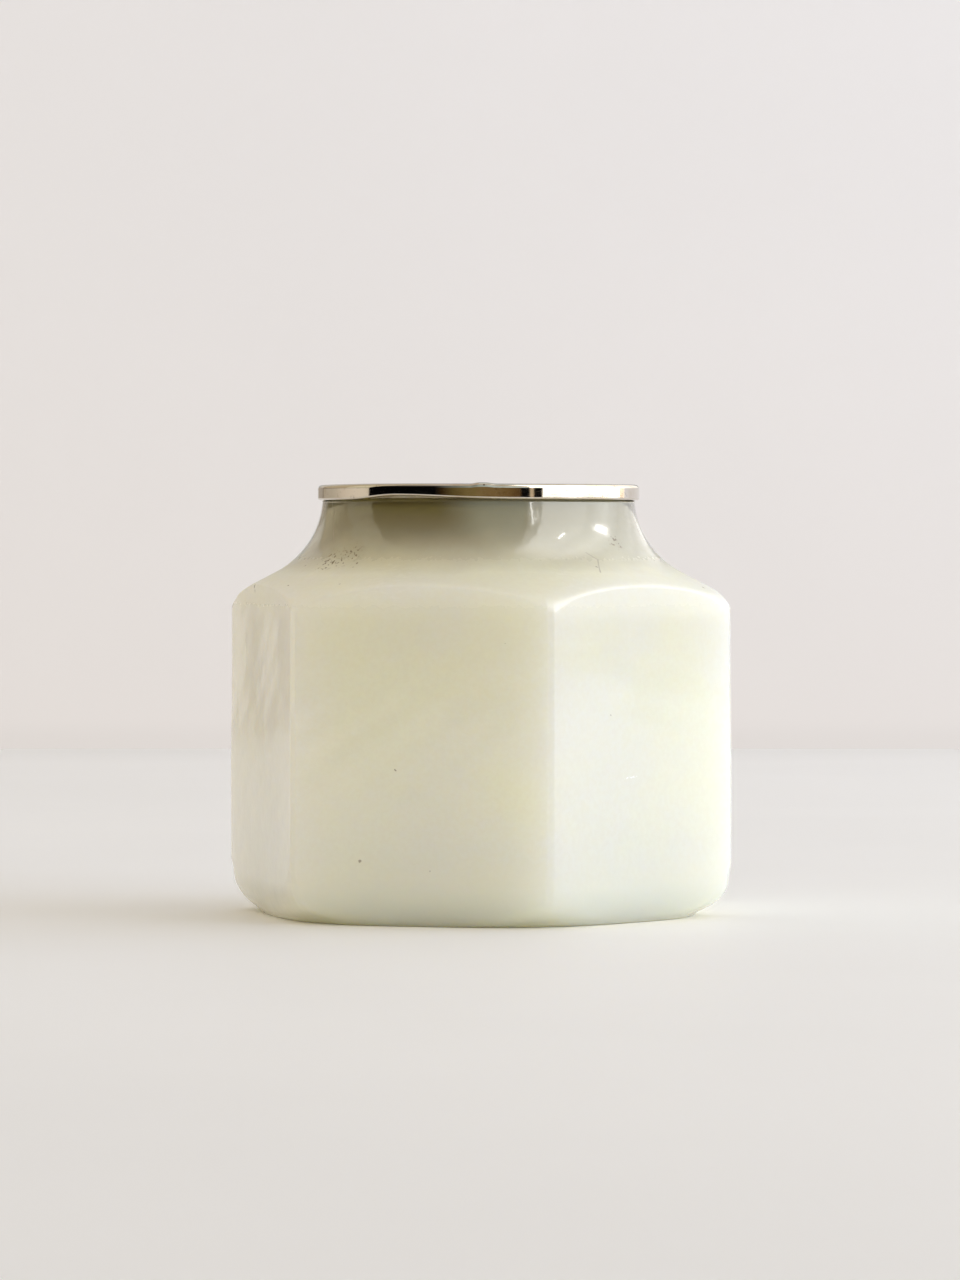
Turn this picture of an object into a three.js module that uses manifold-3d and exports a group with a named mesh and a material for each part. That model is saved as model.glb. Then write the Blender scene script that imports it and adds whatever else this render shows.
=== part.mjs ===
// A hexagonal pot of opal glass with a round well, and a nickel-plated collar cemented on its mouth.
// Millimetres, +Z up. The origin is the centre of the base, on the surface that the pot stands on.
// Two opposite vertical edges lie on the X axis, so two opposite faces look along the Y axis.
import * as THREE from "three";
import * as BufferGeometryUtils from "three/addons/utils/BufferGeometryUtils.js";
import Module from "manifold-3d";

// Body
const FACES = 6;
const ACROSS_CORNERS = 60; // between opposite vertical edges, before they are rounded
const EDGE_ROUND = 0.9; // radius of the vertical edges
const FACE_FOOT_HEIGHT = 4.3; // height of the rounding at the foot of each face
const FACE_FOOT_INSET = 1.6; // how far the face comes in over that height

// Round outline that trims the corners: foot, shoulder and neck
const BASE_RADIUS = 24.7;
const CORNER_RADIUS = 29.9; // where the foot's curve meets the vertical edges
const CORNER_FOOT_HEIGHT = 5.2;
const CORNER_FOOT_FLAT = 1.9; // how long the foot's curve hugs the base
const CORNER_FOOT_UPRIGHT = 1.8; // how long it hugs the vertical edge
const SHOULDER_SLOPE = THREE.MathUtils.degToRad(27.5); // fall of the shoulder over the faces
const SWEEP_RADIUS = 10; // concave sweep from the neck to the shoulder
const SWEEP_HEIGHT = 48.2; // height of the sweep's centre, where the neck is narrowest
const NECK_RADIUS = 18;

// Mouth
const OVERALL_HEIGHT = 49.4;
const COLLAR_HEIGHT = 1.9;
const COLLAR_RADIUS = 18.53;
const COLLAR_SHEET = 0.45;
const BEAD_RADIUS = 18.63; // the small bead at the collar's lower edge
const BEAD_HEIGHT = 0.3;
const COLLAR_INNER_RADIUS = 14.25;
const COLLAR_INNER_DEPTH = 2.6; // the leg that goes down inside the mouth
const COLLAR_ROUND = 0.35; // radius of the collar's two top edges
const ASSEMBLY_GAP = 0.3; // clearance between neighbouring pieces
const CEMENT_HEIGHT = 0.6;

// Well
const WELL_FLOOR_RADIUS = 13.8; // where the wall meets the floor's rounding
const WELL_FLOOR_HEIGHT = 9;
const WELL_FLOOR_ROUND = 8;

// Fineness of the facets
const ROUND_SEGMENTS = 72;
const EDGE_SEGMENTS = 2; // half the facets on each rounded vertical edge
const CURVE_SEGMENTS = 6;
const SWEEP_SEGMENTS = 9;

const wasm = await Module();
wasm.setup();

const collarTopUnderside = OVERALL_HEIGHT - COLLAR_SHEET;
const collarLowerEdge = OVERALL_HEIGHT - COLLAR_HEIGHT;
const cementTop = collarTopUnderside - ASSEMBLY_GAP;
const lipHeight = cementTop - CEMENT_HEIGHT - ASSEMBLY_GAP;
const ledgeHeight = collarLowerEdge - ASSEMBLY_GAP;
const lipRadius = COLLAR_RADIUS - COLLAR_SHEET - ASSEMBLY_GAP;
const mouthRadius = COLLAR_INNER_RADIUS + COLLAR_SHEET + ASSEMBLY_GAP;

// Turns an outline of (radius, height) points about the Z axis.
function turned(points) {
  const geometry = new THREE.LatheGeometry(points, ROUND_SEGMENTS);
  return geometry.rotateX(Math.PI / 2);
}

// A closed geometry as a Manifold solid, for adding, cutting and intersecting.
function toSolid(geometry) {
  const bare = geometry.clone();
  bare.deleteAttribute("normal");
  bare.deleteAttribute("uv");
  const merged = BufferGeometryUtils.mergeVertices(bare);
  const mesh = new wasm.Mesh({
    numProp: 3,
    vertProperties: new Float32Array(merged.attributes.position.array),
    triVerts: new Uint32Array(merged.index.array),
  });
  return new wasm.Manifold(mesh);
}

function toGeometry(solid) {
  const mesh = solid.getMesh();
  const geometry = new THREE.BufferGeometry();
  geometry.setAttribute("position", new THREE.BufferAttribute(mesh.vertProperties, 3));
  geometry.setIndex(new THREE.BufferAttribute(mesh.triVerts, 1));
  geometry.computeVertexNormals();
  return geometry;
}

// The six-sided plan with rounded corners, corners on the X axis.
function hexagonPlan() {
  const plan = new THREE.Shape();
  const halfTurn = Math.PI / FACES;
  const centreDistance = ACROSS_CORNERS / 2 - EDGE_ROUND / Math.cos(halfTurn);
  for (let i = 0; i < FACES; i += 1) {
    const direction = (2 * Math.PI * i) / FACES;
    const x = centreDistance * Math.cos(direction);
    const y = centreDistance * Math.sin(direction);
    plan.absarc(x, y, EDGE_ROUND, direction - halfTurn, direction + halfTurn, false);
  }
  plan.closePath();
  return plan;
}

// The prism with rounded vertical edges. It is tall enough for the round outline to trim its top.
function roundedPrism() {
  return new THREE.ExtrudeGeometry(hexagonPlan(), {
    depth: OVERALL_HEIGHT,
    curveSegments: EDGE_SEGMENTS,
    bevelEnabled: false,
  });
}

// The same six faces as a turned solid of six sides, whose outline draws them in at the foot.
function footedPrism() {
  const cornerScale = 1 / Math.cos(Math.PI / FACES);
  const cornerRadius = ACROSS_CORNERS / 2;
  const inset = FACE_FOOT_INSET * cornerScale;
  const outline = new THREE.Path();
  outline.moveTo(0, 0);
  outline.lineTo(cornerRadius - inset, 0);
  outline.absellipse(cornerRadius - inset, FACE_FOOT_HEIGHT, inset, FACE_FOOT_HEIGHT, -Math.PI / 2, 0, false);
  outline.lineTo(cornerRadius, OVERALL_HEIGHT);
  outline.lineTo(0, OVERALL_HEIGHT);
  const prism = new THREE.LatheGeometry(outline.getPoints(CURVE_SEGMENTS / 2), FACES);
  return prism.rotateX(Math.PI / 2).rotateZ(Math.PI / FACES);
}

// The round outline from the centre of the base, out past the corners, and back up to the lip.
function roundOutline() {
  const footCurve = new THREE.CubicBezierCurve(
    new THREE.Vector2(BASE_RADIUS, 0),
    new THREE.Vector2(BASE_RADIUS + CORNER_FOOT_FLAT, 0),
    new THREE.Vector2(CORNER_RADIUS, CORNER_FOOT_HEIGHT - CORNER_FOOT_UPRIGHT),
    new THREE.Vector2(CORNER_RADIUS, CORNER_FOOT_HEIGHT),
  );
  const outside = ACROSS_CORNERS / 2 + 1; // clear of the corners, where only the prism shapes them
  const sweepTurn = Math.PI / 2 - SHOULDER_SLOPE;
  const ledgeTurn = Math.asin((SWEEP_HEIGHT - ledgeHeight) / SWEEP_RADIUS);
  const sweepPoint = (angle) =>
    new THREE.Vector2(
      NECK_RADIUS + SWEEP_RADIUS * (1 - Math.cos(angle)),
      SWEEP_HEIGHT - SWEEP_RADIUS * Math.sin(angle),
    );
  const sweepEnd = sweepPoint(sweepTurn);
  const shoulderDrop = (outside - sweepEnd.x) * Math.tan(SHOULDER_SLOPE);

  const points = [new THREE.Vector2(0, 0)];
  points.push(...footCurve.getPoints(CURVE_SEGMENTS));
  points.push(new THREE.Vector2(outside, CORNER_FOOT_HEIGHT + 1));
  points.push(new THREE.Vector2(outside, sweepEnd.y - shoulderDrop));
  for (let i = SWEEP_SEGMENTS; i >= 0; i -= 1) {
    points.push(sweepPoint(ledgeTurn + ((sweepTurn - ledgeTurn) * i) / SWEEP_SEGMENTS));
  }
  points.push(new THREE.Vector2(lipRadius, ledgeHeight));
  points.push(new THREE.Vector2(lipRadius, lipHeight));
  points.push(new THREE.Vector2(0, lipHeight));
  return points;
}

// The well's outline: a dished floor, a rounding, and a wall that opens slightly towards the mouth.
function wellOutline() {
  const above = lipHeight + 1; // the cut runs out through the lip
  const wall = new THREE.Path();
  wall.moveTo(0, WELL_FLOOR_HEIGHT);
  wall.lineTo(WELL_FLOOR_RADIUS - WELL_FLOOR_ROUND, WELL_FLOOR_HEIGHT);
  wall.absarc(
    WELL_FLOOR_RADIUS - WELL_FLOOR_ROUND,
    WELL_FLOOR_HEIGHT + WELL_FLOOR_ROUND,
    WELL_FLOOR_ROUND,
    -Math.PI / 2,
    0,
    false,
  );
  wall.lineTo(mouthRadius, lipHeight);
  wall.lineTo(mouthRadius, above);
  wall.lineTo(0, above);
  return wall.getPoints(CURVE_SEGMENTS / 2);
}

function glassBody() {
  const sixSided = toSolid(roundedPrism()).intersect(toSolid(footedPrism()));
  const trimmed = sixSided.intersect(toSolid(turned(roundOutline())));
  return toGeometry(trimmed.subtract(toSolid(turned(wellOutline()))));
}

// The collar's section: an outer wall with a bead, a top with two rounded edges, and an inner leg.
function collarOutline() {
  const innerFoot = OVERALL_HEIGHT - COLLAR_INNER_DEPTH;
  const beadTop = collarLowerEdge + BEAD_HEIGHT;
  const roundHeight = OVERALL_HEIGHT - COLLAR_ROUND;
  const section = new THREE.Path();
  section.moveTo(COLLAR_RADIUS - COLLAR_SHEET, collarLowerEdge);
  section.lineTo(BEAD_RADIUS, collarLowerEdge);
  section.lineTo(BEAD_RADIUS, beadTop);
  section.lineTo(COLLAR_RADIUS, beadTop + BEAD_HEIGHT / 2);
  section.absarc(COLLAR_RADIUS - COLLAR_ROUND, roundHeight, COLLAR_ROUND, 0, Math.PI / 2, false);
  section.absarc(COLLAR_INNER_RADIUS + COLLAR_ROUND, roundHeight, COLLAR_ROUND, Math.PI / 2, Math.PI, false);
  section.lineTo(COLLAR_INNER_RADIUS, innerFoot);
  section.lineTo(COLLAR_INNER_RADIUS + COLLAR_SHEET, innerFoot);
  section.lineTo(COLLAR_INNER_RADIUS + COLLAR_SHEET, collarTopUnderside);
  section.lineTo(COLLAR_RADIUS - COLLAR_SHEET, collarTopUnderside);
  section.closePath();
  return section.getPoints(2);
}

// The flat ring of cement between the lip and the collar's top.
function cementOutline() {
  const section = new THREE.Path();
  section.moveTo(mouthRadius, cementTop - CEMENT_HEIGHT);
  section.lineTo(lipRadius, cementTop - CEMENT_HEIGHT);
  section.lineTo(lipRadius, cementTop);
  section.lineTo(mouthRadius, cementTop);
  section.closePath();
  return section.getPoints();
}

function piece(name, geometry, material) {
  const mesh = new THREE.Mesh(geometry, new THREE.MeshStandardMaterial(material));
  mesh.name = name;
  return mesh;
}

const pot = new THREE.Group();
pot.add(piece("glass_body", glassBody(), { color: 0xdfdcc4, roughness: 0.12, metalness: 0 }));
pot.add(piece("rim_collar", turned(collarOutline()), { color: 0xc9c2b4, roughness: 0.12, metalness: 1 }));
pot.add(piece("collar_cement", turned(cementOutline()), { color: 0xc8bfa8, roughness: 0.9, metalness: 0 }));

export default pot;
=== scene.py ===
import math

import bpy
import numpy as np
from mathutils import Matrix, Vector


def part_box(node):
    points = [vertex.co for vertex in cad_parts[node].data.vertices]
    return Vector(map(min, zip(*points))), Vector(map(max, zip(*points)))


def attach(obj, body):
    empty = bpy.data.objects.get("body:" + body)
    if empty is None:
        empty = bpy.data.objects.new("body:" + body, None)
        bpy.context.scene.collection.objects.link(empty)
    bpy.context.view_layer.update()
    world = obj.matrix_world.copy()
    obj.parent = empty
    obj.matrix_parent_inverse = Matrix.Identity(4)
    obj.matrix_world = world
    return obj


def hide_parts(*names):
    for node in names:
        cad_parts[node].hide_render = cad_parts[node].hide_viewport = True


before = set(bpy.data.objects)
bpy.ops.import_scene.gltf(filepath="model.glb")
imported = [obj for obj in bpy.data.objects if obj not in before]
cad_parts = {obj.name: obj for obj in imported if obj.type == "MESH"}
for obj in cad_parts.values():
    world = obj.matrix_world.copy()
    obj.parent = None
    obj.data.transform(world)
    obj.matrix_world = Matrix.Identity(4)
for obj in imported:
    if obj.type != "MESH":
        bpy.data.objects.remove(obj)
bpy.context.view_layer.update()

MM = 0.001

# The frame's own boxes, in metres
GLASS_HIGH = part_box("glass_body")[1]
COLLAR_LOW, COLLAR_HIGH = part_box("rim_collar")
CEMENT_LOW, CEMENT_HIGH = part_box("collar_cement")

# Glass, in millimetres
APOTHEM = GLASS_HIGH.y / MM
LIP_HEIGHT = GLASS_HIGH.z / MM
CORNER_FLAT = 0.85  # width of the narrow flat that breaks each vertical edge
EDGE_SOFTNESS = 0.12  # how far the narrow flat melts into the faces
DRAFT = 0.12  # how much narrower the body is at the shoulder than at the foot
FACE_FOOT_HEIGHT = 4.3
FACE_FOOT_INSET = 1.6
BASE_RADIUS = 25.1
CORNER_RADIUS = 29.9
CORNER_FOOT_HEIGHT = 4.8
FOOT_SOFTNESS = 1.4  # how far the corner's foot melts into the face's foot
SHOULDER_SLOPE = math.radians(27.5)
SWEEP_RADIUS = 10.0
SWEEP_HEIGHT = 48.2
NECK_RADIUS = 18.0
ARCH_SOFTNESS = 0.65  # how far the shoulder melts into the faces
CORNER_SOFTNESS = 1.5  # how much further it melts at the corners
LEDGE_HEIGHT = 47.53
WELL_FLOOR_RADIUS = 13.8
WELL_FLOOR_HEIGHT = 9.0
WELL_FLOOR_ROUND = 8.0
GAP = 0.3  # left round the cement, as in the CAD
FOOT_ROWS = 22  # rows of points up the rounded foot
CORNER_COLUMNS, FACE_COLUMNS = 17, 43  # points round each vertical edge and each face
FACE_ROWS = 25
ARCH_ROWS = 30
ARCH_REACH = (1.8, 1.2)  # how far the close rows go below the arch and above it
FALL_ROWS = 6
SWEEP_ROWS = 33
CHILL_BAND = (37.2, 40.6)  # where the ripples of the chilled skin start and end

# Collar, in millimetres
COLLAR_TOP = COLLAR_HIGH.z / MM
COLLAR_FOOT = COLLAR_LOW.z / MM  # of the leg inside the mouth
COLLAR_REACH = COLLAR_HIGH.x / MM  # radius of the CAD collar at its widest
COLLAR_WALL = COLLAR_REACH - 0.07  # radius of the outer wall, with room for its dents
COLLAR_EDGE = 47.58  # lower edge of the outer wall
COLLAR_EDGE_ROUND = 0.24  # of the lower outer edge
COLLAR_ROUND = 0.45  # of the top outer edge
COLLAR_INNER_ROUND = 0.3  # of the top inner edge
COLLAR_CHAMFER = 0.05  # of the corners that don't show
COLLAR_SHEET = 0.45
COLLAR_INNER_RADIUS = 14.25
COLLAR_COLUMNS = 720  # points round a ring
CEMENT_COLUMNS = 360
# Places round the band, as azimuths in degrees
LAP_START = 11.3  # where the lapped end begins to rise
LAP_EDGE = 16.2  # its edge
LAP_END = 16.5  # where it begins to die away
EDGE_RISE_CENTRE = -16
EDGE_RISE_REACH = (13.0, 24.0)  # how far the rise dies away to the left and to the right, in degrees
EDGE_RISE = 0.42

# Camera: angles in degrees, the azimuth from -Y towards +X. Distance and height are in metres, the lens is in
# millimetres.
CAMERA_AZIMUTH = 14.3
CAMERA_DISTANCE = 0.635
CAMERA_HEIGHT = 0.0437
CAMERA_PITCH = 1.104
CAMERA_YAW = 0.0156
LENS = 154.7


# ---------------------------------------------------------------- mesh helpers


def soft_min(a, b, softness):
    """The smaller of two lengths, rounded where they cross."""
    overlap = np.maximum(softness - np.abs(a - b), 0) / softness
    return np.minimum(a, b) - overlap**2 * softness / 4


def ease(x):
    """0 below 0 and 1 above 1, with a smooth rise between."""
    x = np.clip(x, 0, 1)
    return x * x * (3 - 2 * x)


def ring_mesh(name, rings, closed):
    """A mesh from rings of points, one ring a row. closed joins the last ring to the first. Otherwise a fan of
    faces from a point on the axis closes each end ring."""
    rings = np.asarray(rings, float)
    n_rows, n_cols, _ = rings.shape
    points = [rings.reshape(-1, 3)]
    index = np.arange(n_rows * n_cols).reshape(n_rows, n_cols)
    upper = np.roll(index, -1, 0) if closed else index[1:]
    lower = index if closed else index[:-1]
    quads = np.stack([lower, np.roll(lower, -1, 1), np.roll(upper, -1, 1), upper], -1)
    faces = quads.reshape(-1, 4).tolist()
    if not closed:
        for row, flip in ((0, True), (n_rows - 1, False)):
            centre = n_rows * n_cols + (0 if flip else 1)
            points.append(np.array([[0, 0, rings[row, :, 2].mean()]]))
            edge = index[row]
            for a, b in zip(edge, np.roll(edge, -1)):
                faces.append([centre, int(b), int(a)] if flip else [centre, int(a), int(b)])
    mesh = bpy.data.meshes.new(name)
    mesh.from_pydata((np.concatenate(points) * MM).tolist(), [], faces)
    mesh.validate()
    mesh.shade_smooth()
    piece = bpy.data.objects.new(name, mesh)
    bpy.context.scene.collection.objects.link(piece)
    return piece


def around(angles, radius, height):
    """One ring of points at these polar angles; radius and height are numbers or one value for each angle."""
    radius = np.broadcast_to(radius, angles.shape)
    height = np.broadcast_to(height, angles.shape)
    return np.stack([radius * np.cos(angles), radius * np.sin(angles), height], -1)


def azimuths(angles):
    """Polar angles as azimuths in degrees, from -Y towards +X, between -180 and 180."""
    return (np.degrees(angles) + 90 + 180) % 360 - 180


# ---------------------------------------------------------------- glass body


def from_corner(angles):
    """Angle from the nearest of the six vertical edges."""
    return (angles + math.pi / 6) % (math.pi / 3) - math.pi / 6


def body_angles():
    """Polar angles round the pot, close together over the narrow flats on the vertical edges."""
    edge_turn = math.atan((CORNER_FLAT / 2 + 0.3) / (APOTHEM / math.cos(math.pi / 6)))
    over_edge = np.linspace(-edge_turn, edge_turn, CORNER_COLUMNS)
    share = np.linspace(0, 1, FACE_COLUMNS + 2)[1:-1]
    share = share + np.sin(2 * math.pi * share) * -0.06
    over_face = edge_turn + (math.pi / 3 - 2 * edge_turn) * share
    one_side = np.concatenate([over_edge, over_face])
    return np.concatenate([one_side + k * math.pi / 3 for k in range(6)])


def plan_radius(angles):
    """Distance from the axis to the six-sided plan, with its narrow flats."""
    corner_turn = from_corner(angles)
    from_face = math.pi / 6 - np.abs(corner_turn)
    corner = APOTHEM / math.cos(math.pi / 6) - CORNER_FLAT / 2 * math.tan(math.pi / 6)
    return soft_min(APOTHEM / np.cos(from_face), corner / np.cos(corner_turn), EDGE_SOFTNESS)


def seam_ridges(angles, height):
    """The mould's two fine joint lines, one along each side of every vertical edge."""
    corner_turn = from_corner(angles)
    line_height, line_width = 0.022, 0.1
    off_line = (np.abs(corner_turn) * CORNER_RADIUS - CORNER_FLAT / 2 + 0.04) / line_width
    broken = 0.65 + 0.35 * np.sin(1.9 * height + 2 * np.sin(0.8 * height) + np.sign(corner_turn))
    upright = ease((height - 7) / 3) * ease((37.5 - height) / 1.5)
    return line_height * np.exp(-(off_line**2)) * broken * upright


def face_scale(height):
    """How the faces draw in: the rounding at their foot, and the draft of the mould above it."""
    below = np.clip(1 - height / FACE_FOOT_HEIGHT, 0, 1)
    inset = FACE_FOOT_INSET * below**1.9
    rise = np.clip((height - FACE_FOOT_HEIGHT) / 32, 0, 1)
    return 1 - (inset + DRAFT * rise) / APOTHEM


def corner_foot(height):
    """Radius of the round outline's foot at a height: a cubic curve from the base to the vertical edges."""
    t = np.linspace(0, 1, 400)
    ends = [(BASE_RADIUS, 0), (BASE_RADIUS + 0.5, 0.7)]
    ends += [(CORNER_RADIUS, 1.6), (CORNER_RADIUS, CORNER_FOOT_HEIGHT)]
    weights = [(1 - t) ** 3, 3 * t * (1 - t) ** 2, 3 * t**2 * (1 - t), t**3]
    radius = sum(w * e[0] for w, e in zip(weights, ends))
    level = sum(w * e[1] for w, e in zip(weights, ends))
    above = np.maximum(height - CORNER_FOOT_HEIGHT, 0)
    return np.interp(height, level, radius) + above * 2


def sweep_end():
    """Radius and height where the neck's sweep runs into the straight fall of the shoulder."""
    turn = math.pi / 2 - SHOULDER_SLOPE
    radius = NECK_RADIUS + SWEEP_RADIUS * (1 - math.cos(turn))
    return radius, SWEEP_HEIGHT - SWEEP_RADIUS * math.sin(turn)


def shoulder_radius(height):
    """Radius of the neck's sweep, and of the straight fall of the shoulder below it."""
    end_radius, end_height = sweep_end()
    turn = np.arcsin(np.clip((SWEEP_HEIGHT - height) / SWEEP_RADIUS, 0, 1))
    sweep = NECK_RADIUS + SWEEP_RADIUS * (1 - np.cos(turn))
    fall = end_radius + (end_height - height) / math.tan(SHOULDER_SLOPE)
    return np.where(height > end_height, sweep, fall)


def outer_radius(angles, height):
    """Radius of the pot's outside: the six faces, the foot and the shoulder, each melted into the next."""
    plan = plan_radius(angles) * face_scale(height)
    footed = soft_min(plan, corner_foot(height), FOOT_SOFTNESS)
    near_corner = 1 - ease(np.abs(from_corner(angles)) / math.radians(7))
    softness = ARCH_SOFTNESS + CORNER_SOFTNESS * near_corner
    return soft_min(footed, shoulder_radius(height), softness)


def outer_heights(angles):
    """Heights of the rows up the outside, an array a row with one height for each angle. They follow the arch
    over each face."""

    def steps(low, high, count):
        return [low + (high - low) * s for s in np.linspace(0, 1, count + 1)[1:]]

    end_radius, end_height = sweep_end()
    arch = end_height - (plan_radius(angles) - end_radius) * math.tan(SHOULDER_SLOPE)
    below, above = ARCH_REACH
    turns = np.linspace(0, math.pi / 2, FOOT_ROWS)
    rows = [np.full_like(angles, CORNER_FOOT_HEIGHT * (1 - math.cos(t))) for t in turns]
    rows += steps(CORNER_FOOT_HEIGHT, arch - below, FACE_ROWS)
    rows += [arch - below + (below + above) * s for s in np.linspace(0, 1, ARCH_ROWS + 1)[1:]]
    rows += steps(arch + above, end_height, FALL_ROWS)
    first = math.pi / 2 - SHOULDER_SLOPE
    last = math.asin((SWEEP_HEIGHT - LEDGE_HEIGHT) / SWEEP_RADIUS)
    turns = np.linspace(first, last, SWEEP_ROWS + 1)[1:]
    rows += [np.full_like(angles, SWEEP_HEIGHT - SWEEP_RADIUS * math.sin(t)) for t in turns]
    return rows


def mould_waves(points):
    """The slight unevenness of pressed glass: how far each point stands out or in, in millimetres."""
    x, y, z = points[..., 0], points[..., 1], points[..., 2]
    turn = np.arctan2(y, x)
    broad = np.sin(0.31 * x + 1.3) * np.cos(0.27 * y - 0.4) * np.sin(0.23 * z + 0.9)
    middle = np.sin(0.9 * x - 0.7 * z) * np.sin(0.8 * y + 0.6 * z + 2.1)
    chill = np.sin(8 * z + 2.2 * np.sin(7 * turn) + 1.4 * np.sin(13 * turn + 1))
    near_arch = ease((z - CHILL_BAND[0]) / 0.8) * ease((CHILL_BAND[1] - z) / 1.6)
    return 0.035 * broad + 0.012 * middle + 0.0013 * chill * near_arch


def well_rows(angles):
    """Rings from the ledge under the collar over the ground lip, and down the well to its floor."""
    mouth = COLLAR_INNER_RADIUS + COLLAR_SHEET + GAP
    lip = COLLAR_REACH - 0.1 - COLLAR_SHEET - GAP
    rows = [(lip + 0.02, LEDGE_HEIGHT + 0.02), (lip, LEDGE_HEIGHT + 0.1), (lip, LIP_HEIGHT - 0.15)]
    rows += [(lip - 0.04, LIP_HEIGHT - 0.04), (lip - 0.15, LIP_HEIGHT)]
    rows += [(lip + (mouth - lip) * s, LIP_HEIGHT) for s in (0.3, 0.6, 0.95)]
    wall_top = LIP_HEIGHT - 0.12
    rows += [(mouth, wall_top)]
    round_top = WELL_FLOOR_HEIGHT + WELL_FLOOR_ROUND
    for s in np.linspace(0, 1, 40)[1:]:
        rows.append((mouth + (WELL_FLOOR_RADIUS - mouth) * s, wall_top + (round_top - wall_top) * s))
    centre = WELL_FLOOR_RADIUS - WELL_FLOOR_ROUND
    for t in np.linspace(0, math.pi / 2, 21)[1:]:
        rows.append((centre + WELL_FLOOR_ROUND * math.cos(t), round_top - WELL_FLOOR_ROUND * math.sin(t)))
    rows += [(centre * s, WELL_FLOOR_HEIGHT) for s in (0.75, 0.5, 0.25, 0.08)]
    return [around(angles, r, h) for r, h in rows]


def glass_pot():
    """The pot as one closed surface: base, outside, lip and well."""
    angles = body_angles()
    rings = []
    base_edge = outer_radius(angles, np.zeros_like(angles))
    for share in (0.05, 0.25, 0.5, 0.75, 0.9, 0.97):
        rings.append(around(angles, base_edge * share, 0))
    for height in outer_heights(angles):
        ring = around(angles, outer_radius(angles, height), height)
        wave = mould_waves(ring) * ease(height / 1.5) * ease((LEDGE_HEIGHT - height) / 1.5)
        wave = wave + seam_ridges(angles, height)
        ring[:, 0] += wave * np.cos(angles)
        ring[:, 1] += wave * np.sin(angles)
        rings.append(ring)
    rings += well_rows(angles)
    return ring_mesh("opal_glass_pot", rings, closed=False)


# ---------------------------------------------------------------- collar and cement


def seam_lift(azimuth):
    """How far the lapped end of the band stands up, dying away at both sides."""
    return ease((azimuth - LAP_START) / 3.2) * (1 - ease((azimuth - LAP_END) / 4.5))


def edge_rise(azimuth):
    """How far the band's lower edge is pressed up, in millimetres."""
    offset = azimuth - EDGE_RISE_CENTRE
    width = np.where(offset < 0, *EDGE_RISE_REACH)
    return EDGE_RISE * np.exp(-((offset / width) ** 2))


def collar_section():
    """The band's outline as (radius, height): lower edge, outer wall, top, inner leg and underside."""
    wall = COLLAR_WALL
    top = COLLAR_TOP - 0.06  # leaves room for the crown and the lapped end
    inner = COLLAR_INNER_RADIUS
    points = []
    low = COLLAR_EDGE_ROUND
    for t in np.linspace(-math.pi / 2, 0, 9):
        points.append((wall - low + low * math.cos(t), COLLAR_EDGE + low + low * math.sin(t)))
    points += [(wall, COLLAR_EDGE + s) for s in (0.27, 0.33, 0.45, 0.6, 0.8, 1.0, 1.15, 1.22)]
    for t in np.linspace(0, math.pi / 2, 15):
        points.append((wall + COLLAR_ROUND * (math.cos(t) - 1), top + COLLAR_ROUND * (math.sin(t) - 1)))
    for s in (0.15, 0.3, 0.5, 0.7, 0.88):
        points.append((wall + (inner - wall) * s, top + 0.05 * math.sin(math.pi * s)))
    high = COLLAR_INNER_ROUND
    for t in np.linspace(math.pi / 2, math.pi, 9):
        points.append((inner + high + high * math.cos(t), top - high + high * math.sin(t)))
    points += [(inner, COLLAR_FOOT + 1.2), (inner, COLLAR_FOOT + 0.4)]
    half = COLLAR_SHEET / 2
    for t in np.linspace(math.pi, 2 * math.pi, 9):
        points.append((inner + half + half * math.cos(t), COLLAR_FOOT + half + half * math.sin(t)))
    underside = top - COLLAR_SHEET
    leg, back, cut = inner + COLLAR_SHEET, wall - COLLAR_SHEET, COLLAR_CHAMFER
    points += [(leg, COLLAR_FOOT + 0.6), (leg, underside - cut), (leg + cut, underside)]
    points += [(back - cut, underside), (back, underside - cut), (back, COLLAR_EDGE + 0.6)]
    points += [(back, COLLAR_EDGE + 0.03), (back + 0.03, COLLAR_EDGE)]
    return points


def nickel_collar():
    """The band, with the dents of hand fitting, its raised lower edge and its lap seam."""
    angles = np.linspace(0, 2 * math.pi, COLLAR_COLUMNS + 1)[:-1]
    azimuth = azimuths(angles)
    lift = seam_lift(azimuth)
    rise = edge_rise(azimuth)
    dents = 0.012 * np.sin(9 * angles + 0.7) + 0.009 * np.sin(17 * angles + 2.0)
    dents += 0.005 * np.sin(31 * angles)
    rings = []
    for radius, height in collar_section():
        outside = ease((radius - 17.4) / 0.6)
        low = 1 - ease((height - COLLAR_EDGE - 0.1) / 1.3)
        high = ease((height - COLLAR_TOP + 0.9) / 0.7)
        tilt = 0.02 * np.sin(3 * angles + 1.1) * high
        r = radius + outside * (dents * 0.8 + 0.03 * lift)
        h = height + outside * low * rise + high * (0.13 * lift) + tilt
        rings.append(around(angles, r, h))
    return ring_mesh("nickel_collar", rings, closed=True)


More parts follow.
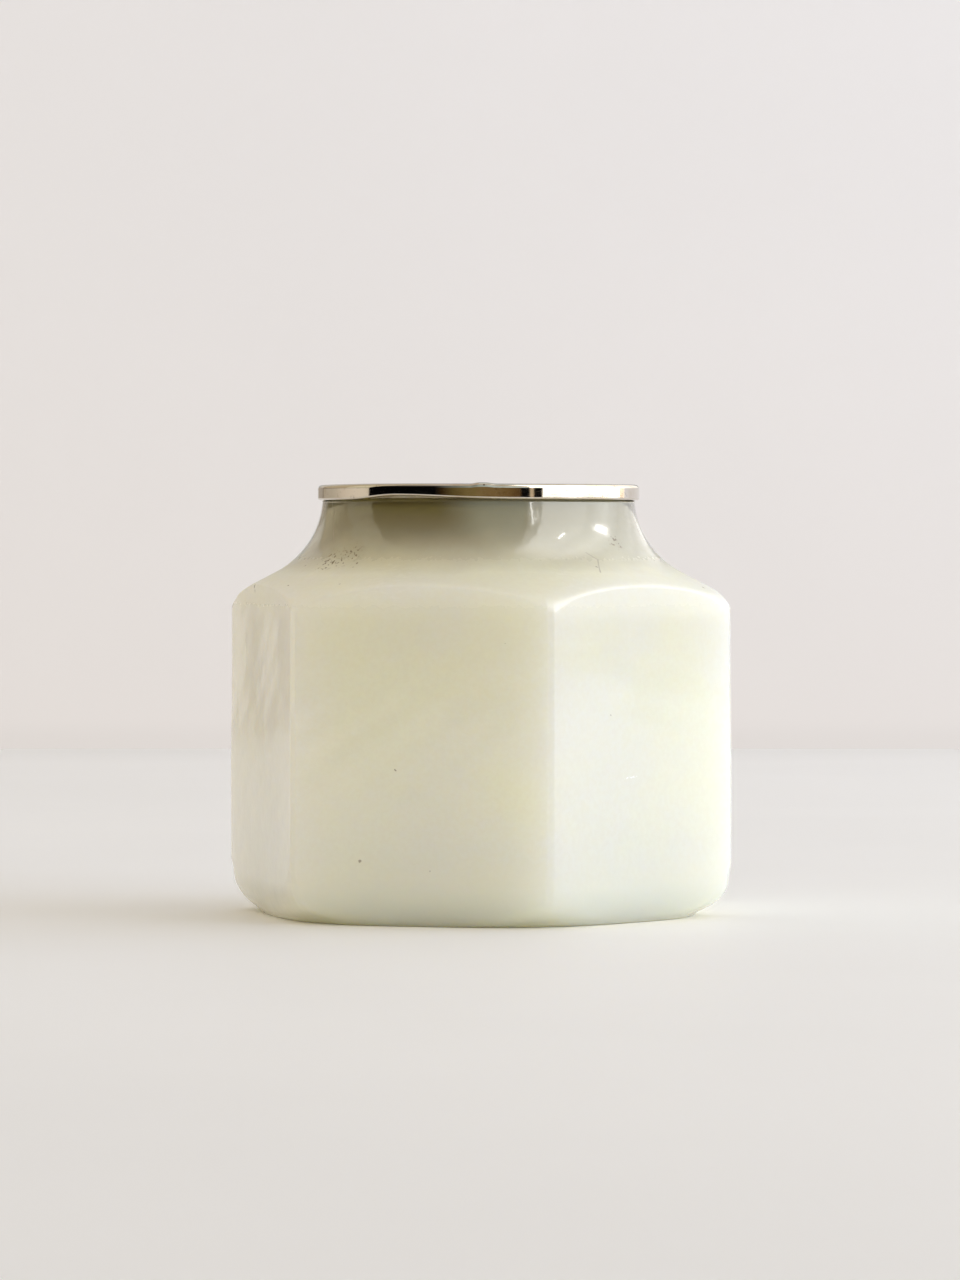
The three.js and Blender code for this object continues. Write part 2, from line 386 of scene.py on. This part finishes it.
def cement_bed():
    """The cement on the lip, with a ragged skirt that fills the gap behind the band."""
    angles = np.linspace(0, 2 * math.pi, CEMENT_COLUMNS + 1)[:-1]
    ragged = 0.5 + 0.5 * np.sin(23 * angles) * np.sin(14 * angles + 1) + 0.4 * np.sin(57 * angles + 2)
    low, high = CEMENT_LOW.z / MM, CEMENT_HIGH.z / MM
    outer = CEMENT_HIGH.x / MM
    inner = COLLAR_INNER_RADIUS + COLLAR_SHEET + GAP
    skirt = LEDGE_HEIGHT + 0.1 + 0.07 * ragged + edge_rise(azimuths(angles)) * 0.6
    outline = [(inner, low), (outer - 0.05, low), (outer + 0.03, low - 0.08), (outer + 0.04, skirt + 0.05)]
    outline += [(outer + 0.08, skirt), (outer + 0.22, skirt), (outer + 0.26, skirt + 0.06)]
    outline += [(outer + 0.26, high - 0.08), (outer + 0.18, high), (inner + 0.08, high)]
    outline += [(inner, high - 0.08), (inner, low + 0.08)]
    return ring_mesh("cement_bed", [around(angles, r, h) for r, h in outline], closed=True)


# ---------------------------------------------------------------- materials


class Nodes:
    """A short way to write a material's nodes."""

    def __init__(self, name):
        self.material = bpy.data.materials.new(name)
        self.material.use_nodes = True
        self.tree = self.material.node_tree
        self.tree.nodes.clear()
        self.output = self.tree.nodes.new("ShaderNodeOutputMaterial")
        self.shader = self.tree.nodes.new("ShaderNodeBsdfPrincipled")
        self.tree.links.new(self.shader.outputs[0], self.output.inputs["Surface"])

    def add(self, kind, settings=None, **inputs):
        """One node. An input is given by its name, or as i0, i1 and so on by its number."""
        node = self.tree.nodes.new("ShaderNode" + kind)
        for key, value in (settings or {}).items():
            setattr(node, key, value)
        for key, value in inputs.items():
            numbered = key[0] == "i" and key[1:].isdigit()
            self.put(node.inputs[int(key[1:]) if numbered else key.replace("_", " ")], value)
        return node

    def put(self, socket, value):
        if isinstance(value, bpy.types.NodeSocket):
            self.tree.links.new(value, socket)
        else:
            socket.default_value = value

    def set(self, **inputs):
        for key, value in inputs.items():
            self.put(self.shader.inputs[key.replace("_", " ")], value)

    def place(self):
        return self.add("TexCoord").outputs["Object"]

    def stretched(self, vector, scale):
        return self.add("Mapping", i0=vector, Scale=scale).outputs[0]

    def noise(self, vector, scale, detail=2.0, roughness=0.5):
        return self.add("TexNoise", Vector=vector, Scale=scale, Detail=detail, Roughness=roughness).outputs[0]

    def range(self, value, low, high, to_low=0.0, to_high=1.0, smooth=True):
        settings = {"interpolation_type": "SMOOTHSTEP" if smooth else "LINEAR"}
        node = self.add("MapRange", settings, i0=value, i1=low, i2=high, i3=to_low, i4=to_high)
        return node.outputs[0]

    def math(self, operation, a, b=0.0):
        return self.add("Math", {"operation": operation}, i0=a, i1=b).outputs[0]

    def mix(self, share, a, b):
        node = self.add("Mix", {"data_type": "RGBA"})
        self.put(node.inputs["Factor"], share)
        self.put(node.inputs[6], a)
        self.put(node.inputs[7], b)
        return node.outputs[2]

    def vector(self, operation, a, b=None):
        node = self.add("VectorMath", {"operation": operation}, i0=a)
        if b is not None:
            self.put(node.inputs[1], b)
        return node.outputs[1 if operation in ("DISTANCE", "DOT_PRODUCT", "LENGTH") else 0]

    def scaled(self, vector, factor):
        return self.add("VectorMath", {"operation": "SCALE"}, i0=vector, Scale=factor).outputs[0]

    def spot(self, place, point, radius, share=1.0):
        """share inside this radius of a point, falling to 0 at its edge."""
        return self.range(self.vector("DISTANCE", place, point), 0.4 * radius, radius, share, 0.0)

    def stroke(self, place, start, end, width, share=1.0):
        """share along the straight line between two points, falling to 0 at its sides."""
        along = np.array(end) - np.array(start)
        offset = self.vector("SUBTRACT", place, tuple(start))
        part = self.vector("DOT_PRODUCT", offset, tuple(along / np.dot(along, along)))
        part = self.range(part, 0.0, 1.0, smooth=False)
        nearest = self.scaled(tuple(along), part)
        return self.range(self.vector("DISTANCE", offset, nearest), 0.3 * width, width, share, 0.0)

    def strongest(self, shares):
        """The largest of several shares at each point."""
        total = shares[0]
        for share in shares[1:]:
            total = self.math("MAXIMUM", total, share)
        return total

    def bump(self, height, strength, distance, normal=None):
        node = self.add("Bump", Strength=strength, Distance=distance, Height=height)
        if normal is not None:
            self.put(node.inputs["Normal"], normal)
        return node.outputs[0]


def linear(red, green, blue):
    """A screen colour, 0 to 255, as the linear colour that a shader takes."""

    def one(v):
        v = v / 255
        return v / 12.92 if v <= 0.04045 else ((v + 0.055) / 1.055) ** 2.4

    return (one(red), one(green), one(blue), 1.0)


# Painted shade for the glass near the collar, where no light comes through it, and a deeper, browner painted
# shade on its side away from the window
NECK_SHADE_PAINT = linear(120, 117, 92)
NECK_DEEP_SHADE_PAINT = linear(87, 78, 46)
SHADED_SIDE = math.radians(-18)
# Distances from the axis, in metres: the well's wall is nearer than both, the neck is further than both
CLEAR_OF_AXIS = (0.0156, 0.0172)


def on_glass(azimuth, height):
    """The point, in metres, of the pot's outside at an azimuth in degrees and a height in millimetres."""
    turn = np.array([math.radians(azimuth - 90)])
    radius = float(outer_radius(turn, np.array([float(height)]))[0])
    return (radius * math.cos(turn[0]) * MM, radius * math.sin(turn[0]) * MM, height * MM)


# Marks in the glass: azimuth in degrees from -Y towards +X, then millimetres. A speck is (azimuth, height,
# radius, strength), a patch of grit or of chill marks is (azimuth, height, radius), and a line is a row of
# (azimuth, height). For 25 of the specks, four points of the brown lines and the first scratch, the place was
# picked by eye in the photograph, and a separate script that cast a ray through the camera gave its azimuth
# and height. The other places were given one by one, and those behind are invented.
SPECKS = [
    (-66.7, 37.7, 0.3, 0.9), (-66.0, 37.2, 0.2, 0.6), (-40.8, 37.9, 0.22, 0.8),
    (-51.9, 41.0, 0.16, 0.6), (-48.3, 40.1, 0.17, 0.6), (-38.4, 40.4, 0.26, 0.8),
    (-36.2, 40.5, 0.18, 0.6), (-33.8, 40.5, 0.15, 0.6), (-34.5, 41.4, 0.17, 0.7),
    (-33.6, 41.8, 0.15, 0.6), (-30.3, 41.5, 0.17, 0.6), (-28.1, 41.4, 0.14, 0.6),
    (-24.7, 40.4, 0.17, 0.7), (-22.7, 38.1, 0.17, 0.5), (-37.5, 41.6, 0.12, 0.5),
    (-24.9, 40.0, 0.13, 0.5), (-84.4, 31.9, 0.16, 0.5), (88.0, 37.6, 0.25, 0.8),
    (50.9, 40.0, 0.16, 0.5), (-6.3, 17.5, 0.16, 0.7), (-15.1, 7.3, 0.22, 0.6),
    (48.2, 23.5, 0.17, 0.6), (-45.2, 10.0, 0.15, 0.5), (2.4, 6.3, 0.14, 0.4),
    (68.1, 43.0, 0.14, 0.5), (67.0, 42.2, 0.13, 0.5), (20.4, 31.6, 0.14, 0.35),
    (66.0, 43.6, 0.1, 0.5), (131, 39.6, 0.2, 0.6), (152, 21.0, 0.18, 0.5),
    (-168, 33.0, 0.16, 0.5), (-118, 14.0, 0.2, 0.5),
]
GRIT = [(-38.0, 40.6, 2.6), (-30.5, 41.2, 2.4), (66.5, 42.8, 1.6), (140.0, 41.0, 2.2)]
BROWN_LINES = [
    [(-53.7, 47.4), (-49.5, 45.3), (-45.8, 43.8), (-42.6, 42.8)],
    [(50.5, 41.6), (53.4, 40.8), (50.3, 39.4)],
]
SCRATCHES = [[(53.1, 16.3), (57.4, 16.6)], [(-160.0, 25.0), (-156.5, 24.4)]]
CHILL_MARKS = [(-10.0, 38.7, 5.0), (41.0, 38.7, 4.2), (100.0, 38.7, 5.0), (160.0, 38.6, 4.5)]
CHILL_MARKS += [(-140.0, 38.6, 4.5)]


def glass_marks(m, place):
    """Shares of dirt, of white scratches and of chill marks in the pot's surface."""
    bend = m.add("TexNoise", Vector=place, Scale=2200.0, Detail=1.0).outputs[1]
    bend = m.vector("SUBTRACT", bend, (0.5, 0.5, 0.5))
    bent = m.vector("ADD", place, m.scaled(bend, 0.0004))
    dirt = [m.spot(bent, on_glass(az, z), r * MM, share) for az, z, r, share in SPECKS]
    grains = m.range(m.noise(place, 2600, 1, 0.4), 0.6, 0.67)
    for az, z, r in GRIT:
        dirt.append(m.math("MULTIPLY", grains, m.spot(place, on_glass(az, z), r * MM, 0.8)))
    for line in BROWN_LINES:
        dirt += [m.stroke(place, on_glass(*a), on_glass(*b), 0.00013, 0.42) for a, b in zip(line, line[1:])]
    white = [m.stroke(bent, on_glass(*a), on_glass(*b), 0.00011, 0.9) for a, b in SCRATCHES]
    chill = [m.spot(place, on_glass(az, z), r * MM) for az, z, r in CHILL_MARKS]
    return m.strongest(dirt), m.strongest(white), m.strongest(chill)


def opal_glass():
    """Milk glass: cloudy, with a creamier, lighter foot that is partly its own deeper tone and partly a painted
    glow, painted shade on the upper body and darker painted shade at the neck, white inside the well, with its
    marks.
    """
    m = Nodes("opal_glass")
    place = m.place()
    height = m.add("SeparateXYZ", i0=place).outputs[2]
    cloud = m.noise(place, 90, 3)
    grain = m.noise(place, 1500, 2, 0.6)
    dirt, white, chill = glass_marks(m, place)
    colour = m.mix(m.range(cloud, 0.35, 0.65), linear(236, 235, 212), linear(234, 233, 217))
    colour = m.mix(m.range(grain, 0.3, 0.7, 0.0, 0.25), colour, linear(229, 224, 199))
    # Painted glow: the foot is creamier and lighter, partly the deeper tone of the thicker glass and partly
    # standing in for light that comes through it.
    colour = m.mix(m.range(height, 0.0005, 0.0095), linear(255, 246, 208), colour)
    # Painted shade: the upper body darkens a little towards the neck.
    upper = m.range(height, 0.022, 0.036, 0.0, 0.09)
    colour = m.mix(upper, colour, NECK_SHADE_PAINT)
    uneven = m.math("MULTIPLY", m.math("SUBTRACT", cloud, 0.5), 0.002)
    below = m.range(m.math("ADD", height, uneven), 0.0392, 0.0471, 1.0, 0.0, smooth=False)
    off_axis = m.vector("LENGTH", m.stretched(place, (1, 1, 0)))
    outside = m.range(off_axis, *CLEAR_OF_AXIS)
    in_well = m.range(off_axis, *CLEAR_OF_AXIS, 0.85, 0.0)
    colour = m.mix(in_well, colour, linear(246, 245, 238))
    # Painted shade on the neck, deeper and browner on the side away from the window.
    neck = m.math("MULTIPLY", outside, m.math("SUBTRACT", 1.0, m.math("MULTIPLY", below, below)))
    side = m.vector("DOT_PRODUCT", place, (math.sin(SHADED_SIDE), -math.cos(SHADED_SIDE), 0))
    dark = m.mix(m.range(side, 0.0150, 0.0174), NECK_SHADE_PAINT, NECK_DEEP_SHADE_PAINT)
    colour = m.mix(neck, colour, dark)
    wisps = m.noise(m.stretched(place, (1, 1, 3.5)), 1100, 2)
    pale = m.math("MULTIPLY", chill, m.range(wisps, 0.5, 0.7, 0.0, 0.15))
    colour = m.mix(pale, colour, linear(250, 248, 232))
    colour = m.mix(dirt, colour, linear(88, 68, 40))
    colour = m.mix(white, colour, linear(255, 255, 250))
    m.set(Base_Color=colour)
    m.set(Subsurface_Weight=m.range(neck, 0, 1, 1.0, 0.45))
    m.set(Subsurface_Radius=(1.0, 0.88, 0.62), Subsurface_Scale=0.03)
    # The shoulder is softer in its gloss than the rest
    soft = m.math("MULTIPLY", m.range(height, 0.0330, 0.0378), m.range(height, 0.0384, 0.0440, 1.0, 0.0))
    rough = m.math("ADD", m.range(grain, 0.2, 0.8, 0.07, 0.13), m.math("MULTIPLY", soft, 0.3))
    m.set(IOR=1.5, Coat_Weight=m.range(soft, 0, 1, 0.7, 0.05, smooth=False), Coat_Roughness=0.05)
    m.set(Roughness=m.math("MAXIMUM", rough, dirt))
    peel = m.bump(m.noise(place, 700, 2), 0.12, 0.0002)
    peel = m.bump(m.noise(place, 180, 1), 0.15, 0.0006, peel)
    m.set(Normal=m.bump(m.math("MULTIPLY", wisps, chill), 0.1, 0.0002, peel))
    return m.material


def nickel_plate():
    """Polished nickel with fine level brush lines, faint tarnish and a dark dot on the lap seam."""
    m = Nodes("nickel_plate")
    place = m.place()
    fine = m.noise(m.stretched(place, (1, 1, 14)), 900, 3, 0.6)
    patches = m.noise(place, 260, 3, 0.6)
    colour = m.mix(m.range(patches, 0.45, 0.75), linear(211, 203, 190), linear(196, 184, 164))
    seam = math.radians(LAP_EDGE)
    seam_radius = 18.55 * MM
    dot_place = (seam_radius * math.sin(seam), -seam_radius * math.cos(seam), 0.04922)
    dot = m.spot(place, dot_place, 0.00016, 0.9)
    tarnish = m.range(m.noise(place, 900, 3, 0.7), 0.62, 0.72, 0.0, 0.35)
    colour = m.mix(m.math("MAXIMUM", dot, tarnish), colour, linear(92, 72, 44))
    m.set(Base_Color=colour, Metallic=1.0, Roughness=m.range(fine, 0.25, 0.8, 0.03, 0.08))
    m.set(Normal=m.bump(fine, 0.01, 0.0001, m.bump(m.noise(place, 320, 1), 0.06, 0.0002)))
    return m.material


def white_cement():
    """Gritty cement, stained brown in patches."""
    m = Nodes("white_cement")
    place = m.place()
    grit = m.noise(place, 2600, 4, 0.7)
    stain = m.noise(place, 420, 3, 0.6)
    colour = m.mix(m.range(stain, 0.35, 0.7), linear(204, 194, 168), linear(150, 130, 98))
    colour = m.mix(m.range(grit, 0.3, 0.75, 0.0, 0.4), colour, linear(112, 94, 66))
    m.set(Base_Color=colour, Roughness=m.range(grit, 0.2, 0.8, 0.75, 0.95))
    m.set(Normal=m.bump(grit, 0.6, 0.0002))
    return m.material


# ---------------------------------------------------------------- studio


def direction(bearing):
    """Level direction from the pot, bearing in degrees from the camera towards its right."""
    turn = math.radians(CAMERA_AZIMUTH + bearing)
    return np.array([math.sin(turn), -math.cos(turn), 0.0])


def stage_sheet(name, points, material, faces=None):
    """A flat sheet of the studio with these corners, or a mesh of these faces."""
    mesh = bpy.data.meshes.new(name)
    mesh.from_pydata([tuple(p) for p in points], [], faces or [list(range(len(points)))])
    sheet = bpy.data.objects.new(name, mesh)
    bpy.context.scene.collection.objects.link(sheet)
    mesh.materials.append(material)
    return sheet


def painted(name, colour, roughness, mottle, across, stops):
    """Matt paint with a faint mottle and painted shade. stops lists (from, to, share) along the direction
    across:
    between the two distances the paint darkens by the share, a painted shade."""
    m = Nodes(name)
    place = m.place()
    cloud = m.range(m.noise(place, 9, 3), 0.3, 0.7, 0.0, mottle)
    along = m.vector("DOT_PRODUCT", place, across)
    # The stops add painted shade to the mottle.
    for start, end, share in stops:
        cloud = m.math("ADD", cloud, m.range(along, start, end, 0.0, share))
    m.set(Base_Color=m.mix(cloud, colour, (0, 0, 0, 1)), Roughness=roughness)
    return m.material


# Lengths in metres from the pot's axis
TABLE_FRONT = -1.4
TABLE_BACK = 0.484
TABLE_HALF = 1.6  # half the table's width
TABLE_DROP = 0.00005  # keeps the table just clear of the pot's base
WALL_BACK = 0.66
WALL_SIDES = (-0.4, 0.9)
WALL_HEIGHTS = (-0.5, 1.1)

# How far the cards stand from the axis, in metres. Those at the back stand in front of the wall.
CARD_DISTANCE = 0.9
WINDOW_DISTANCE = 1.1
BACK_DISTANCE = 0.62
GAP_DISTANCE = 0.88  # cards that show through the gap between the curtain and the dark card
LAMP_DISTANCE = 1.0
MATT = {"Roughness": 0.9, "Specular_IOR_Level": 0.0}
ROOM_TONE = (0.75, 0.7, 0.63, 1.0)
WHITE = (1.0, 1.0, 0.97)
BLACK = (0.003, 0.003, 0.003)
DARK_WOOD = (0.1, 0.08, 0.05)


def floor_and_wall():
    """The table, with painted shade that darkens it towards its back and its front, and the wall, with painted
    shade that darkens it just below the level of the table's top."""
    back, side = direction(180), direction(90)
    up = np.array([0, 0, 1.0])
    # Painted shade on the table: darker by its back edge and towards the front.
    stops = [(TABLE_BACK - 0.07, TABLE_BACK, 0.06), (-0.02, -0.5, 0.08)]
    table = painted("table_paint", linear(247, 248, 247), 0.6, 0.02, tuple(back), stops)
    # Painted shade on the wall, just below the level of the table's top.
    stops = [(0.001, -0.005, 0.035)]
    wall = painted("wall_paint", linear(247, 246, 245), 0.9, 0.015, (0, 0, 1), stops)
    corners = [back * TABLE_FRONT - side * TABLE_HALF, back * TABLE_FRONT + side * TABLE_HALF]
    corners += [back * TABLE_BACK + side * TABLE_HALF, back * TABLE_BACK - side * TABLE_HALF]
    stage_sheet("table", [c - up * TABLE_DROP for c in corners], table)
    (left, right), (low, high) = WALL_SIDES, WALL_HEIGHTS
    corners = [back * WALL_BACK + side * left + up * low, back * WALL_BACK + side * right + up * low]
    corners += [back * WALL_BACK + side * right + up * high, back * WALL_BACK + side * left + up * high]
    stage_sheet("wall", corners, wall)


def card_sheet(name, bearings, elevations, material, distance, lean):
    """A curved card that stands round the pot, with its edges at these bearings and elevations in degrees. It
    shows in the gloss only, and takes no light away. lean is how many degrees each side edge moves towards the
    right by the top."""
    n = max(2, round((bearings[1] - bearings[0]) / 8))
    points = []
    for elevation, share in ((elevations[0], 0), (elevations[1], 1)):
        turns = np.linspace(bearings[0] + lean[0] * share, bearings[1] + lean[1] * share, n)
        rise = np.array([0, 0, card_height(distance, elevation)])
        points += [direction(b) * distance + rise for b in turns]
    faces = [[i, i + 1, n + i + 1, n + i] for i in range(n - 1)]
    sheet = stage_sheet(name, points, material, faces)
    sheet.visible_camera = False
    sheet.visible_diffuse = False
    sheet.visible_shadow = False


def card_height(distance, elevation):
    """Height that shows at an elevation in degrees on a card at this distance."""
    return distance * math.tan(math.radians(elevation))


def card(name, bearings, elevations, colour, glow=0.0, fade=None, distance=CARD_DISTANCE, lean=(0, 0)):
    """A card of one colour. fade gives the elevations between which it pales to the room."""
    m = Nodes(name + "_paint")
    paint = colour + (1.0,)
    if fade:
        low, high = (card_height(distance, e) for e in fade)
        up_card = m.add("SeparateXYZ", i0=m.place()).outputs[2]
        paint = m.mix(m.range(up_card, low, high), paint, ROOM_TONE)
        if glow:
            glow = m.range(up_card, low, high, glow, 0.0)
    m.set(Base_Color=paint, **MATT)
    if glow:
        m.set(Emission_Color=colour + (1.0,), Emission_Strength=glow)
    card_sheet(name, bearings, elevations, m.material, distance, lean)


def graded_card(name, elevations, stops, fade=None):
    """A card whose paint changes along its length. stops lists (bearing, colour), from left to right."""
    first, last = stops[0][0], stops[-1][0]
    m = Nodes(name + "_paint")
    x, y, z = m.add("SeparateXYZ", i0=m.place()).outputs
    turn = m.math("ARCTAN2", x, m.math("MULTIPLY", y, -1.0))
    low, high = (math.radians(CAMERA_AZIMUTH + b) for b in (first, last))
    ramp = m.add("ValToRGB", i0=m.range(turn, low, high, smooth=False))
    points = ramp.color_ramp.elements
    for _ in stops[2:]:
        points.new(0.5)
    for point, (bearing, _) in zip(points, stops):
        point.position = (bearing - first) / (last - first)
    for point, (_, colour) in zip(points, stops):
        point.color = colour + (1.0,)
    paint = ramp.outputs[0]
    if fade:
        low, high = (card_height(CARD_DISTANCE, e) for e in fade)
        paint = m.mix(m.range(z, low, high), paint, ROOM_TONE)
    m.set(Base_Color=paint, **MATT)
    card_sheet(name, (first, last), elevations, m.material, CARD_DISTANCE, (0, 0))


def window_light():
    """The window's light, left out of the gloss, where the window cards show instead."""
    width, height, radiance = 1.9, 0.7, 2.95
    light = bpy.data.lights.new("window", "AREA")
    light.shape = "RECTANGLE"
    light.size, light.size_y = width, height
    light.energy = radiance * math.pi * width * height
    light.color = (0.54, 0.675, 0.96)
    lamp = bpy.data.objects.new("window", light)
    bpy.context.scene.collection.objects.link(lamp)
    target = np.array([0, 0, 0.36])
    place = direction(85) * 1.2 + target
    lamp.location = place
    lamp.rotation_euler = Vector(target - place).to_track_quat("-Z", "Y").to_euler()
    lamp.visible_camera = False
    lamp.visible_glossy = False


def window_cards():
    """The window at the right, brightest at its left, with its curtain and the paler surfaces behind the pot."""
    fade = (54, 80)
    card("window_low", (46.5, 122), (2.8, 8), WHITE, glow=3.2, distance=WINDOW_DISTANCE)
    strips = [("left", (46.5, 86), 4.2, (12, 0)), ("mid", (86, 110), 3.4, (0, 0))]
    strips += [("right", (110, 116), 2.5, (0, 0)), ("next", (116, 123), 1.9, (0, 0))]
    for name, bearings, glow, lean in strips:
        card("window_" + name, bearings, (8, 76), WHITE, glow, fade, WINDOW_DISTANCE, lean)
    strips = [("far", (121, 131), 1.35), ("end", (131, 142), 1.05), ("wall", (142, 165), 0.65)]
    for name, bearings, glow in strips:
        card("window_" + name, bearings, (9, 62), WHITE, glow, (36, 62), BACK_DISTANCE)
    card("back_right", (165, 200), (9, 62), (0.5, 0.52, 0.52), distance=BACK_DISTANCE)
    card("ceiling", (120, 190), (60, 86), (1.1, 1.3, 1.35), distance=BACK_DISTANCE)
    card("curtain", (36, 46.5), (8, 70), WHITE, glow=1.6, fade=fade, lean=(16, 12))
    card("window_side", (122, 129), (2.8, 8), (1.0, 0.85, 0.7), glow=1.2, distance=WINDOW_DISTANCE)
    card("curtain_gap", (36.6, 39.4), (-1, 8), (0.8, 0.68, 0.5), glow=0.11, distance=GAP_DISTANCE)


def lamp_cards():
    """The two bright spots on the neck, and the light streak beside the dark reflection."""
    card("lamp_a", (99, 111), (28, 33), WHITE, glow=12, distance=LAMP_DISTANCE)
    card("lamp_a_halo", (96, 114), (26, 35), WHITE, glow=4, distance=1.05)
    card("lamp_b", (74.3, 76), (43, 50), WHITE, glow=24, distance=LAMP_DISTANCE)
    card("lamp_c", (37.2, 38.6), (11, 40), WHITE, glow=12, distance=GAP_DISTANCE, lean=(6, 6))
    card("lamp_d", (43.5, 45), (22, 36), WHITE, glow=4, distance=GAP_DISTANCE, lean=(2, 2))


def room_cards():
    """The room at the left, and the dark and brown things in front of the pot."""
    card("wall_end_low", (-148.7, -145), (-0.1, 3.4), (0.55, 0.5, 0.44), distance=BACK_DISTANCE)
    card("wall_end_mid", (-165, -145), (3.6, 12), (0.5, 0.45, 0.38), distance=BACK_DISTANCE)
    card("wall_end_high", (-180, -145), (12, 66), (0.78, 0.73, 0.63), distance=BACK_DISTANCE)
    card("wall_gap", (-145.6, -144.6), (3.6, 70), DARK_WOOD, distance=0.61)
    card("shelf_line", (-145, -85), (6, 9), DARK_WOOD)
    card("room_left", (-145, -110), (9, 70), (0.7, 0.61, 0.43))
    card("room_near", (-110, -85), (9, 70), (0.95, 0.9, 0.68))
    wall = [(-145, (0.6, 0.55, 0.46)), (-125, (0.7, 0.65, 0.54)), (-112, (0.9, 0.82, 0.7))]
    wall += [(-99, (1.0, 0.93, 0.8)), (-85, (1.0, 0.93, 0.79))]
    graded_card("wall_left", (-0.1, 6), wall)
    card("dark_left", (-85, -32), (-1, 70), BLACK, fade=(28, 68))
    card("dark_right", (31, 46.5), (-1, 8), BLACK)
    browns = [(-32, (0.005, 0.004, 0.004)), (-25, (0.05, 0.03, 0.01)), (-18, (0.15, 0.115, 0.04))]
    browns += [(-9, (0.28, 0.22, 0.09)), (2, (0.3, 0.22, 0.095)), (12, (0.28, 0.19, 0.08))]
    browns += [(24, (0.23, 0.145, 0.055)), (31, (0.14, 0.08, 0.03))]
    graded_card("brown", (-1, 8), browns)
    greys = [(-32, (0.01, 0.01, 0.01)), (-20, (0.2, 0.24, 0.23)), (-6, (0.45, 0.55, 0.54))]
    greys += [(10, (0.66, 0.8, 0.8)), (26, (0.86, 1.0, 1.0)), (36, (0.9, 1.05, 1.05))]
    graded_card("grey", (8, 70), greys, fade=(28, 68))


def light_room():
    """Even warm light from the whole room, the window's light, and the cards that the gloss reflects."""
    world = bpy.data.worlds.new("room")
    world.use_nodes = True
    background = world.node_tree.nodes["Background"]
    background.inputs["Color"].default_value = (0.88, 0.80, 0.71, 1)
    background.inputs["Strength"].default_value = 0.845
    bpy.context.scene.world = world
    window_light()
    window_cards()
    lamp_cards()
    room_cards()


def make_camera():
    """The photograph's camera."""
    data = bpy.data.cameras.new("camera")
    data.lens = LENS
    camera = bpy.data.objects.new("camera", data)
    bpy.context.scene.collection.objects.link(camera)
    camera.location = direction(0) * CAMERA_DISTANCE + np.array([0, 0, CAMERA_HEIGHT])
    pitch = math.radians(90 - CAMERA_PITCH)
    camera.rotation_euler = (pitch, 0, math.radians(CAMERA_AZIMUTH - CAMERA_YAW))
    bpy.context.scene.camera = camera


# ---------------------------------------------------------------- assembly


def add_piece(piece, material, node):
    """Puts a finished piece in the place of its CAD node."""
    piece.data.materials.append(material)
    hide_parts(node)
    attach(piece, "root")


make_camera()
add_piece(glass_pot(), opal_glass(), "glass_body")
add_piece(nickel_collar(), nickel_plate(), "rim_collar")
add_piece(cement_bed(), white_cement(), "collar_cement")
floor_and_wall()
light_room()
bpy.context.scene.view_settings.view_transform = "Standard"
